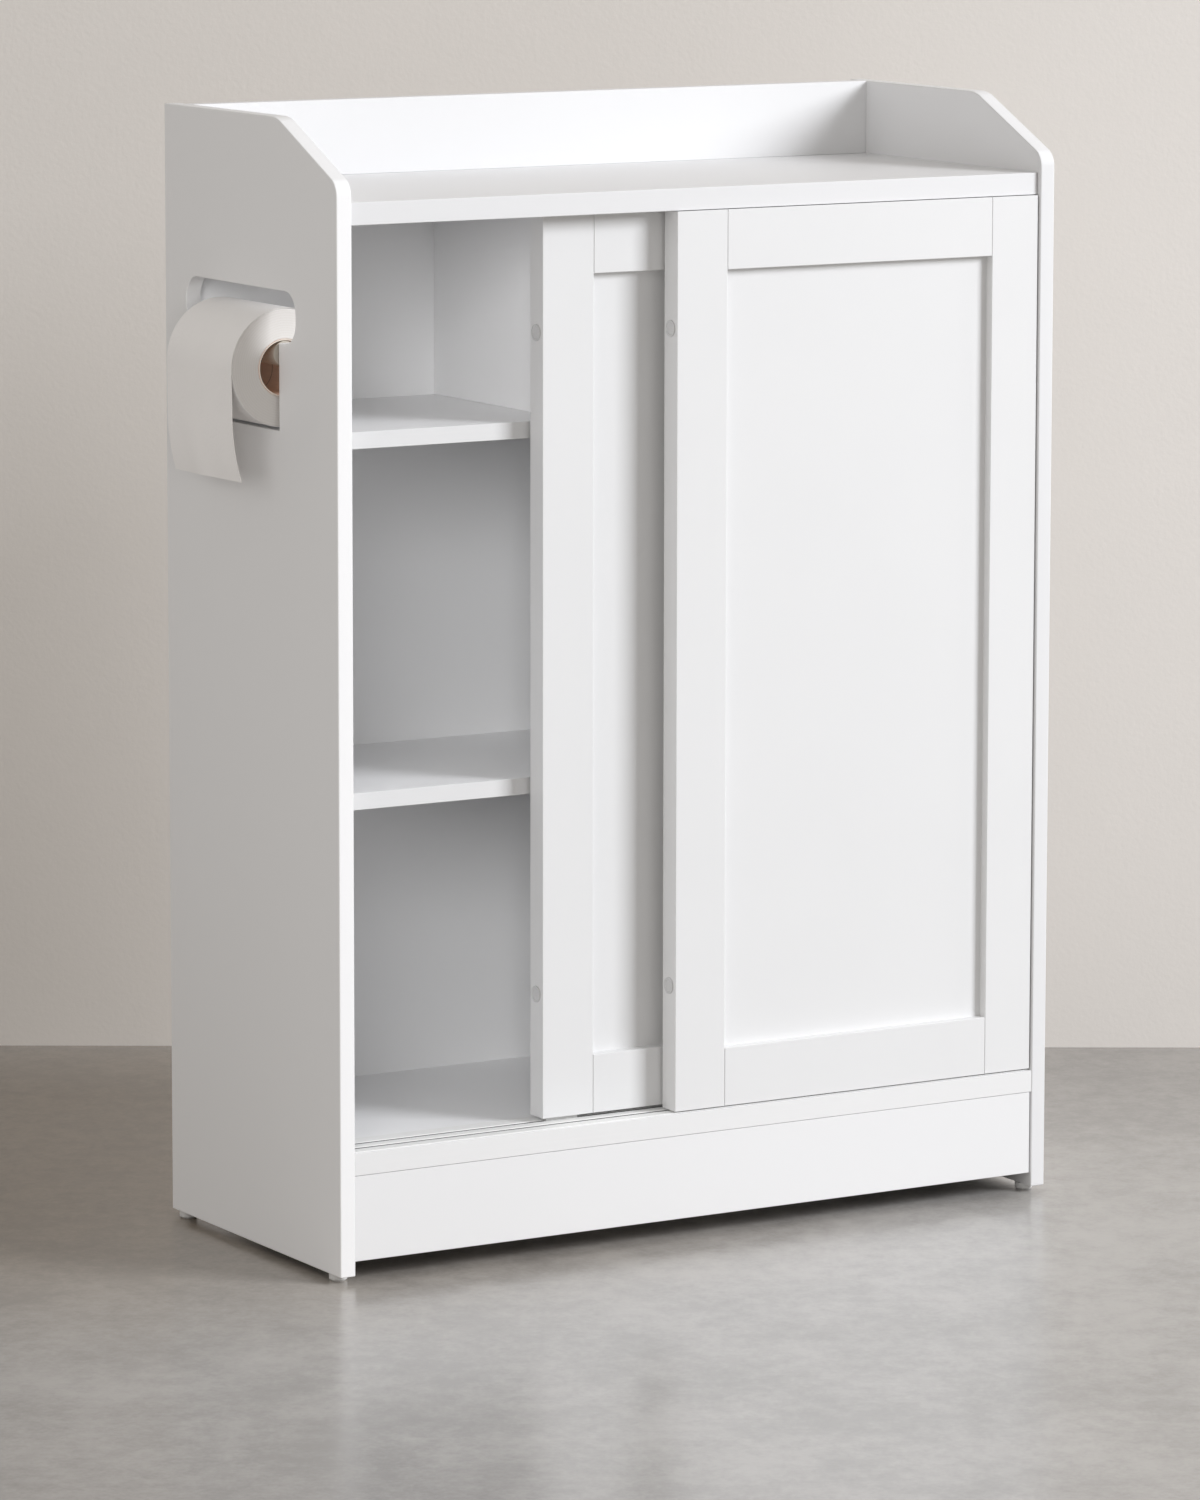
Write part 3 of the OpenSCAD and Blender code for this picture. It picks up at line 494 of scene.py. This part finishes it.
def spring_wire():
    """Bright drawn spring wire with faint draw marks."""
    grey = (0.42, 0.42, 0.43)
    finish = Finish("spring_wire", grey, 0.25, Metallic=1.0)
    marks = finish.noise(1500, place=finish.stretched((0.2, 1, 0.2)))
    finish.set("Base Color", finish.blend(marks, tinted(grey, 0.85), tinted(grey, 1.15)))
    finish.set("Roughness", 0.2 + 0.2 * marks)
    return finish.material


def beech():
    """Beech dowel: pale tan with short darker flecks along the rod."""
    tan = (0.52, 0.34, 0.19)
    finish = Finish("beech", tan, 0.6)
    grain = finish.noise(500, detail=4, place=finish.stretched((0.08, 1, 1)))
    flecks = finish.noise(900, place=finish.stretched((0.2, 1, 1))).above(0.6, 0.7)
    finish.set("Base Color", finish.blend(flecks * 0.5, finish.blend(
        grain, tinted(tan, 0.85), tinted(tan, 1.15)), tinted(tan, 0.55)))
    finish.set("Roughness", 0.52 + 0.2 * grain)
    finish.set("Normal", finish.bump(grain, 0.1 * MM, 0.5))
    return finish.material


FLOAT_TURN = 0.54               # the way the power float ran over the floor, round Z
# painted light: the floor is palest round this point, a painted pool of light, and darkens away
# from it
LIGHT_POOL_MIDDLE = (0.10, -0.45, 0)      # middle of the paler floor in front of the cabinet
# painted shadow: the middle of the cabinet's shadow, painted darker and warmer on the floor beside
# it
CABINET_SHADOW_MIDDLE = (-0.22, 0.35, 0)         # middle of the darker, warmer floor beside it


def concrete_floor():
    """Power-floated concrete: soft clouds, trowel marks, fine grit and a dull polish, with a paler
    painted pool of light in front of the cabinet, painted shade to the right and a warmer, darker
    painted shadow beside the cabinet."""
    grey = (0.50, 0.484, 0.468)
    finish = Finish("pale_concrete", grey, 0.3, IOR=1.65)
    turned = finish.stretched((1, 1, 1), (0, 0, FLOAT_TURN))
    drawn = finish.stretched((1, 0.8, 1), place=turned)
    cloud = finish.noise(3.6, detail=3, place=drawn)
    patch = finish.noise(15, detail=5, roughness=0.55, place=drawn)
    trowel = finish.noise(60, detail=5, roughness=0.6, place=drawn)
    grit = finish.noise(240, detail=2, roughness=0.6, place=drawn)
    tone = cloud * 0.3 + patch * 0.36 + trowel * 0.24 + grit * 0.1
    clouds = finish.blend(tone.above(0.35, 0.65), tinted(grey, 0.85), tinted(grey, 1.15))
    # painted shade: darker with distance from the painted pool of light
    painted_pool_falloff = finish.distance(LIGHT_POOL_MIDDLE).above(0.35, 0.95)
    # painted shadow of the cabinet: darker and warmer beside it
    painted_cabinet_shadow = 1 - finish.distance(CABINET_SHADOW_MIDDLE).above(0.2, 0.75)
    # painted shade: the floor is darker to the right, toning down the key's light there
    right = finish.axis("X", turned).above(0.22, 0.42)
    shaded = finish.blend(painted_pool_falloff, clouds, (0.75, 0.74, 0.73), "MULTIPLY")
    with_right_shade = finish.blend(right, shaded, (0.82, 0.815, 0.80), "MULTIPLY")
    with_painted_shadow = finish.blend(painted_cabinet_shadow, with_right_shade, (0.73, 0.65, 0.55), "MULTIPLY")
    finish.set("Base Color", with_painted_shadow)
    finish.set("Roughness", 0.15 + 0.16 * patch)
    finish.set("Normal", finish.bump(grit, 0.12 * MM, 0.1,
                                     under=finish.bump(trowel, 0.8 * MM, 0.05)))
    return finish.material


def plaster_wall():
    """Warm plaster, seen only from its room side."""
    beige = (0.893, 0.856, 0.815)
    finish = Finish("warm_plaster", beige, 0.9)
    trowel = finish.noise(7, detail=4)
    sand = finish.noise(260, detail=3)
    finish.set("Base Color", finish.blend(trowel, tinted(beige, 0.985), tinted(beige, 1.015)))
    finish.set("Normal", finish.bump(sand, 0.5 * MM, 0.3, under=finish.bump(trowel, 2 * MM, 0.1)))
    behind = finish.node("ShaderNodeNewGeometry", out="Backfacing")
    clear = finish.node("ShaderNodeBsdfTransparent")
    lit = Amount(finish, finish.shader.outputs[0])
    shown = finish.node("ShaderNodeMixShader", None, {0: behind, 1: lit, 2: clear})
    finish.tree.links.new(shown.socket, finish.tree.nodes["Material Output"].inputs["Surface"])
    return finish.material


# --- putting pieces on the frame --------------------------------------------

BODY_OF = {node: body for body, nodes in frame["record"]["behaviour"]["bodies"].items()
           for node in nodes}


def stands_for(piece, material, node):
    """The piece takes a node's place, rides on its body and gets its finish."""
    piece.data.materials.clear()
    piece.data.materials.append(material)
    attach(piece, BODY_OF[node])
    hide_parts(node)


def dress(node, material):
    """Gives a node of the frame its finish."""
    part = frame["nodes"][node]
    part.data.materials.clear()
    part.data.materials.append(material)


def board(node, low_in=(0, 0, 0), high_in=(0, 0, 0)):
    """A board in a node's box, drawn in at the low and the high end of each axis."""
    low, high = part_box(node)
    return slab(node + "_board", Vector(low) + Vector(low_in), Vector(high) - Vector(high_in))


def cam_pockets(piece, node, size, places, from_below=True):
    """Round pockets for the cams: from below at places in Y, or from behind at heights."""
    low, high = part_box(node)
    radius, depth = size[0] + CAM_PLAY, size[1]
    left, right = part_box("left_side_panel")[1][0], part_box("right_side_panel")[0][0]
    for x in (left + CAM_IN, right - CAM_IN):
        for place in places:
            if from_below:
                start, end = (x, place, low[2] - EDGE), (x, place, low[2] + depth)
            else:
                start, end = (x, high[1] + EDGE, place), (x, high[1] - depth, place)
            cut(piece, rod("cutter", start, end, radius, CAM_SIDES))


# --- carcass ---------------------------------------------------------------

CUTOUT = (86 * MM, 202.5 * MM)                  # the roll's cut-out, behind the front edges
CUTOUT_FOOT = 599 * MM
SLOT = (61.25 * MM, 227.25 * MM)                # the wide slot above it
SLOT_HEIGHT = (661.2 * MM, 698.2 * MM)
SLOT_ROUND = 16 * MM


def side_panel(node, material, opening=False):
    """A side panel with its rounded chamfer, and the roll's opening where it has one."""
    low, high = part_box(node)
    panel = slab(node + "_board", low, high)
    foot = (0, low[1], high[2] - CHAMFER_DROP)
    edit(panel, "FACE", lambda face: True)
    bpy.ops.mesh.bisect(plane_co=foot, plane_no=(0, -CHAMFER_DROP, CHAMFER_RUN),
                        use_fill=True, clear_outer=True)
    bpy.ops.mesh.select_all(action="SELECT")
    bpy.ops.mesh.normals_make_consistent(inside=False)
    edit_done()
    tilt = math.atan2(CHAMFER_DROP, CHAMFER_RUN)
    corners = ((low[1] + CHAMFER_RUN, high[2], tilt),
               (low[1], high[2] - CHAMFER_DROP, math.pi / 2 - tilt))
    for (corner_y, corner_z, turn), radius in zip(corners, CHAMFER_ROUNDS):
        round_corners(panel, 0, radius * math.tan(turn / 2), near=lambda middle: (
            abs(middle.y - corner_y) < MM and abs(middle.z - corner_z) < MM))
    if opening:
        left, right = low[0] - EDGE, high[0] + EDGE
        stem = slab("cutter", (left, FRONT + CUTOUT[0], CUTOUT_FOOT),
                    (right, FRONT + CUTOUT[1], sum(SLOT_HEIGHT) / 2))
        slot = slab("cutter", (left, FRONT + SLOT[0], SLOT_HEIGHT[0]),
                    (right, FRONT + SLOT[1], SLOT_HEIGHT[1]))
        round_corners(slot, 0, SLOT_ROUND)
        cut(panel, stem, slot)
    soften(panel, PANEL_EDGE)
    stands_for(panel, material, node)


def flat_board(node, material, cams=None, cam_size=None, track=None, corners=0, band=None):
    """A board with soft edges, and where given cam pockets below, a track's rebate, rounded
    front corners and an edge band."""
    low, high = (Vector(corner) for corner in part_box(node))
    setback = Vector((0, EDGE_BAND if band else 0, 0))
    piece = slab(node + "_board", low + setback, high)
    if corners:
        round_corners(piece, 2, corners, 5, near=lambda middle: middle.y < low.y + MM)
    if track:
        seam = Vector((EDGE, TRACK_SEAMS[track], 0))
        start, end = (Vector(corner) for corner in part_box(track))
        if start.z < low.z + MM:                # the cut passes the board's open face
            start.z -= EDGE
        else:
            end.z += EDGE
        cut(piece, slab("cutter", start - seam, end + seam))
    if cams:
        cam_pockets(piece, node, cam_size, [FRONT + place for place in cams])
    soften(piece, BANDED_EDGE if band else EDGE)
    stands_for(piece, material, node)
    if band:
        strip = slab(node + "_edge_band", low, (high.x, low.y + EDGE_BAND, high.z))
        soften(strip, BAND_EDGE)
        strip.data.materials.append(band)
        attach(strip, BODY_OF[node])


def upright_board(node, material, cams, seam=0):
    """A thin board on edge with cam pockets in its back and an open seam over it."""
    piece = board(node, high_in=(0, 0, seam))
    cam_pockets(piece, node, THIN_CAM, cams, from_below=False)
    soften(piece, EDGE)
    stands_for(piece, material, node)


def carcass():
    white, band = laminate(), edge_band()
    side_panel("left_side_panel", white, opening=True)
    side_panel("right_side_panel", white)
    flat_board("top_board", white, BOARD_CAMS, THICK_CAM, "top_track", corners=TOP_CORNER)
    flat_board("bottom_board", white, BOARD_CAMS, THICK_CAM, "bottom_track", band=band)
    flat_board("upper_shelf", white, SHELF_CAMS, THIN_CAM, band=band)
    flat_board("lower_shelf", white, band=band)
    flat_board("divider_panel", white)
    upright_board("gallery_rail", white, RAIL_CAMS)
    upright_board("kick_board", white, PLINTH_CAMS, seam=KICK_SEAM)
    upright_board("rear_plinth_rail", white, PLINTH_CAMS)
    dress("back_panel", white)


# --- doors -----------------------------------------------------------------

# How far a door's parts are drawn in at both ends of X, Y and Z: what the frame hides of the
# rails and nearly all of it at the panel is left off.
DOOR_PARTS = {
    "left_stile": (0, 0, 0),
    "right_stile": (0, 0, 0),
    "top_rail": (TONGUE + SEAM, 0, 0),
    "bottom_rail": (TONGUE + SEAM, 0, 0),
    "panel": (TONGUE - MM, 0, TONGUE - MM),
}
BUMPER_HEIGHT = 0.9 * MM
BUMPER_EDGE = 0.18 * MM
# Widths and depths of a bumper's rings, from its rim inwards
BUMPER_RINGS = ((0.35 * MM, 0), (0.9 * MM, 0), (0.3 * MM, -0.45 * MM), (1.2 * MM, 0),
                (0.8 * MM, 0.2 * MM))


def door(body, foil, bumper):
    """A door's stiles, rails and panel, and its bumpers."""
    for part, drawn_in in DOOR_PARTS.items():
        node = body + "_" + part
        piece = board(node, drawn_in, drawn_in)
        soften(piece, FRAME_EDGE)
        stands_for(piece, foil, node)
    bumpers(body, bumper)


def bumpers(body, material):
    """Clear discs with a raised ring and a small crown in the middle, on both door edges."""
    node = body + "_bumpers"
    low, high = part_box(node)
    radius = (high[1] - low[1]) / 2
    first = rod("bumper", (0, 0, 0), (BUMPER_HEIGHT, 0, 0), radius, 48)
    edit(first, "FACE", lambda face: face.normal.x > 0.9)
    for width, depth in BUMPER_RINGS:
        bpy.ops.mesh.inset(thickness=width, depth=depth)
    edit_done()
    soften(first, BUMPER_EDGE, 2)
    middle_y = (low[1] + high[1]) / 2
    copies = []
    for z in (low[2] + radius, high[2] - radius):
        right = copy_of(first, "bumper", (high[0] - BUMPER_HEIGHT, middle_y, z))
        left = copy_of(first, "bumper")
        left.data.transform(Matrix.Translation((low[0] + BUMPER_HEIGHT, middle_y, z))
                            @ Matrix.Rotation(math.pi, 4, "Z"))
        copies += [left, right]
    bpy.data.objects.remove(first)
    stands_for(joined(node + "_discs", copies), material, node)


# --- roll holder -----------------------------------------------------------

ROLL_EDGE = 0.9 * MM            # softened edges of the roll's ends
CORE_WALL = 1.0 * MM
CORE_EDGE = 0.25 * MM
SHEET_THICK = 0.35 * MM
SHEET_LIFT = 0.45 * MM          # middle of the loose sheet, out from the roll's surface
SHEET_START = math.radians(20)  # where it leaves the roll, up from the level on the bay's side
SHEET_STRAIGHT = 40 * MM        # the part that hangs straight down
SHEET_CURL = 165 * MM           # radius of the curl under that
SHEET_COLUMNS, SHEET_ROWS = 44, 110


def roll_of_paper():
    """The roll and its core, with the middle of the roll and its radius for the sheet."""
    low, high = (Vector(corner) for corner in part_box("paper_roll"))
    core_low, core_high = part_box("cardboard_core")
    centre = (low + high) / 2
    outer, hole = (high.x - low.x) / 2, (core_high[0] - core_low[0]) / 2
    roll = rod("roll_of_paper", (centre.x, low.y, centre.z), (centre.x, high.y, centre.z),
               outer, 128)
    hollow(roll, outer - hole)
    soften(roll, ROLL_EDGE, sharper_than=50)
    stands_for(roll, tissue("wound_tissue", centre.x, centre.z), "paper_roll")

    core = rod("core_tube", (centre.x, core_low[1], centre.z), (centre.x, core_high[1], centre.z),
               hole, 96)
    hollow(core, CORE_WALL)
    soften(core, CORE_EDGE, 2, sharper_than=50)
    stands_for(core, cardboard(centre.x, centre.z), "cardboard_core")
    return centre, outer


def hollow(tube, wall):
    """Opens a bar along Y into a tube: both ends are inset and the holes are bridged."""
    edit(tube, "FACE", lambda face: abs(face.normal.y) > 0.9)
    bpy.ops.mesh.inset(thickness=wall, depth=0, use_individual=True)
    bpy.ops.mesh.bridge_edge_loops()
    edit_done()


def sheet_of_tissue(centre, outer):
    """The loose sheet: it comes off the roll's top, hangs past it and curls in a little."""
    low, high = (Vector(corner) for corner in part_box("hanging_sheet"))
    width, reach = high.y - low.y, outer + SHEET_LIFT
    wrap = (math.pi - SHEET_START) * reach
    drop = centre.z - low.z - SHEET_STRAIGHT - MM
    length = wrap + SHEET_STRAIGHT + math.asin(min(0.9, drop / SHEET_CURL)) * SHEET_CURL

    def place(across, run):
        """A point of the sheet, by its share of the width and its run from the start."""
        if run < wrap:
            angle = SHEET_START + run / reach
            x, z = centre.x + reach * math.cos(angle), centre.z + reach * math.sin(angle)
            free = 0
        elif run < wrap + SHEET_STRAIGHT:
            x, z = centre.x - reach, centre.z - (run - wrap)
            free = (run - wrap) / (SHEET_STRAIGHT * 4)
        else:
            past = run - wrap - SHEET_STRAIGHT
            turn = past / SHEET_CURL
            x = centre.x - reach + SHEET_CURL * (1 - math.cos(turn))
            z = centre.z - SHEET_STRAIGHT - SHEET_CURL * math.sin(turn)
            free = min(1, 0.25 + past / (75 * MM))
        ripple = math.sin(across * math.tau * 1.15 + 0.6) * 0.7 * MM
        ripple += math.sin(across * math.tau * 2.6 + run * 40) * 0.3 * MM
        front_corner = (1 - across) ** 2 * 1.8 * MM
        sway = math.sin(run * 55) * 0.9 * MM
        return Vector((x + free * (ripple + MM + front_corner),
                       low.y + across * width + free * sway, z))

    bpy.ops.object.select_all(action="DESELECT")
    bpy.ops.mesh.primitive_grid_add(x_subdivisions=SHEET_COLUMNS, y_subdivisions=SHEET_ROWS,
                                    size=1)
    sheet = bpy.context.object
    for vertex in sheet.data.vertices:
        vertex.co = place(vertex.co.x + 0.5, (0.5 - vertex.co.y) * length)
    settle(sheet, "loose_sheet")
    edit(sheet, "FACE", lambda face: True)
    bpy.ops.mesh.normals_make_consistent(inside=False)
    edit_done()
    finish_with(sheet, "SOLIDIFY", thickness=SHEET_THICK, offset=0)
    alone(sheet)
    bpy.ops.object.shade_smooth_by_angle(angle=math.radians(50))
    stands_for(sheet, tissue("loose_tissue", centre.x, centre.z), "hanging_sheet")


def spring():
    """The spindle's coil spring, in spring wire and on a mesh of its own."""
    dress("spindle_spring", spring_wire())
    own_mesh(frame["nodes"]["spindle_spring"])


# --- stage -----------------------------------------------------------------

def camera():
    """The camera, at the photograph's place and framing."""
    view = bpy.data.cameras.new("camera")
    view.lens = CAMERA_LENS
    view.sensor_width = CAMERA_SENSOR
    view.shift_x, view.shift_y = CAMERA_SHIFT
    holder = bpy.data.objects.new("camera", view)
    bpy.context.scene.collection.objects.link(holder)
    holder.matrix_world = (Matrix.Translation(CAMERA_PLACE)
                           @ Matrix.Rotation(-CAMERA_YAW, 4, "Z")
                           @ Matrix.Rotation(math.pi / 2 + CAMERA_PITCH, 4, "X")
                           @ Matrix.Rotation(CAMERA_ROLL, 4, "Z"))
    bpy.context.scene.camera = holder


WALL_FAR = 5.617                # from the camera to the wall, on the level
WALL_SPAN = 9.0
WALL_TOP = 4.0
FLOOR_SPAN = 14.0
STAGE_PIECES = ("floor", "wall")


def stage():
    """The floor, and a wall square to the camera's view."""
    forward = Vector((math.sin(CAMERA_YAW), math.cos(CAMERA_YAW), 0))
    foot = Vector((CAMERA_PLACE[0], CAMERA_PLACE[1], 0)) + forward * WALL_FAR
    bpy.ops.object.select_all(action="DESELECT")
    bpy.ops.mesh.primitive_plane_add(size=FLOOR_SPAN)
    floor = settle(bpy.context.object, "floor")
    floor.data.materials.append(concrete_floor())
    bpy.ops.object.select_all(action="DESELECT")
    bpy.ops.mesh.primitive_plane_add(size=1)
    wall = settle(bpy.context.object, "wall")
    wall.data.transform(Matrix.Translation(foot + Vector((0, 0, WALL_TOP / 2)))
                        @ Matrix.Rotation(-CAMERA_YAW, 4, "Z")
                        @ Matrix.Rotation(math.pi / 2, 4, "X")
                        @ Matrix.Diagonal((WALL_SPAN, WALL_TOP, 1, 1)))
    wall.data.materials.append(plaster_wall())


# Lamps: name, place, target, size, power in watts and colour
KEY = ("key", (3.2, -3.8, 2.6), (0, 0, 0.3), 2.0, 245, (0.97, 0.99, 1.03))
SIDE_FILL = ("side_fill", (-3.2, -1.5, 1.2), (-0.28, 0, 0.4), 2.2, 18, (1.0, 0.98, 0.955))
EDGE_FILL = ("edge_fill", (-2.3, -3.8, 0.9), (-0.28, 0, 0.4), 1.6, 42, (1.0, 0.98, 0.96))
FOOT_FILL = ("foot_fill", (-2.3, -3.8, 0.9), (0, 0, 0.1), 1.6, 16, (1.0, 0.98, 0.96))
BAY_FILL = ("bay_fill", (-2.5, -3.3, 1.7), (-0.15, 0, 0.35), 1.6, 72, (1, 1, 1))
WALL_WASH = ("wall_wash", (-1.9, -1.2, 1.8), (0.2, 0.6, 1.1), 1.6, 7, (1.0, 0.92, 0.80))
ROOM_COLOUR, ROOM_STRENGTH = (1.0, 0.97, 0.935), 0.365


def soft_box(name, place, target, size, power, colour):
    """A square lamp that faces a point."""
    lamp = bpy.data.lights.new(name, "AREA")
    lamp.shape = "SQUARE"
    lamp.size = size
    lamp.energy = power
    lamp.color = colour
    holder = bpy.data.objects.new(name, lamp)
    bpy.context.scene.collection.objects.link(holder)
    place, target = Vector(place), Vector(target)
    holder.location = place
    holder.rotation_euler = (target - place).to_track_quat("-Z", "Y").to_euler()
    return holder


def fill(lamp, *pieces):
    """A lamp whose light is kept to the pieces of these names."""
    holder = soft_box(*lamp)
    lit = bpy.data.collections.new(holder.name + "_pieces")
    for name in pieces:
        lit.objects.link(bpy.data.objects[name])
    holder.light_linking.receiver_collection = lit
    return holder


def lights():
    """A key from the right, four fills for the object alone and a wash for the wall alone."""
    key = soft_box(*KEY)
    key.visible_glossy = False                  # no glare of it on the floor
    fill(SIDE_FILL, *(piece.name for piece in bpy.data.objects
                      if piece.type == "MESH" and piece.name not in STAGE_PIECES))
    fill(EDGE_FILL, "left_side_panel_board", "loose_sheet", "core_tube")
    fill(FOOT_FILL, "kick_board_board", "bottom_board_edge_band")
    fill(BAY_FILL, "back_panel", "upper_shelf_board", "lower_shelf_board",
         "divider_panel_board", "bottom_board_board", "bottom_track")
    wash = fill(WALL_WASH, "wall")
    wash.light_linking.blocker_collection = wash.light_linking.receiver_collection
    world = bpy.data.worlds.new("room")
    world.use_nodes = True
    room = world.node_tree.nodes["Background"]
    room.inputs["Color"].default_value = (*ROOM_COLOUR, 1)
    room.inputs["Strength"].default_value = ROOM_STRENGTH
    bpy.context.scene.world = world


# --- the whole object --------------------------------------------------------

bpy.context.scene.view_settings.view_transform = "Standard"
camera()
carcass()
foil, bumper_finish, plastic = door_foil(), clear_bumper(), moulded_white()
for body in ("front_door", "rear_door"):
    door(body, foil, bumper_finish)
    dress(body + "_glides", plastic)
    dress(body + "_guide_pins", plastic)
for node in ("top_track", "bottom_track"):
    dress(node, running_track(node))
for node in ("front_left_foot", "front_right_foot", "back_left_foot", "back_right_foot",
             "front_spindle_socket", "rear_spindle_socket"):
    dress(node, plastic)
roll_centre, roll_radius = roll_of_paper()
sheet_of_tissue(roll_centre, roll_radius)
spindle = spindle_plastic()
dress("spindle_tube", spindle)
dress("spindle_plunger", spindle)
spring()
metal = zinc()
for node in ("cam_locks", "cam_bolts", "shelf_pins"):
    dress(node, metal)
dress("wood_dowels", beech())
stage()
lights()
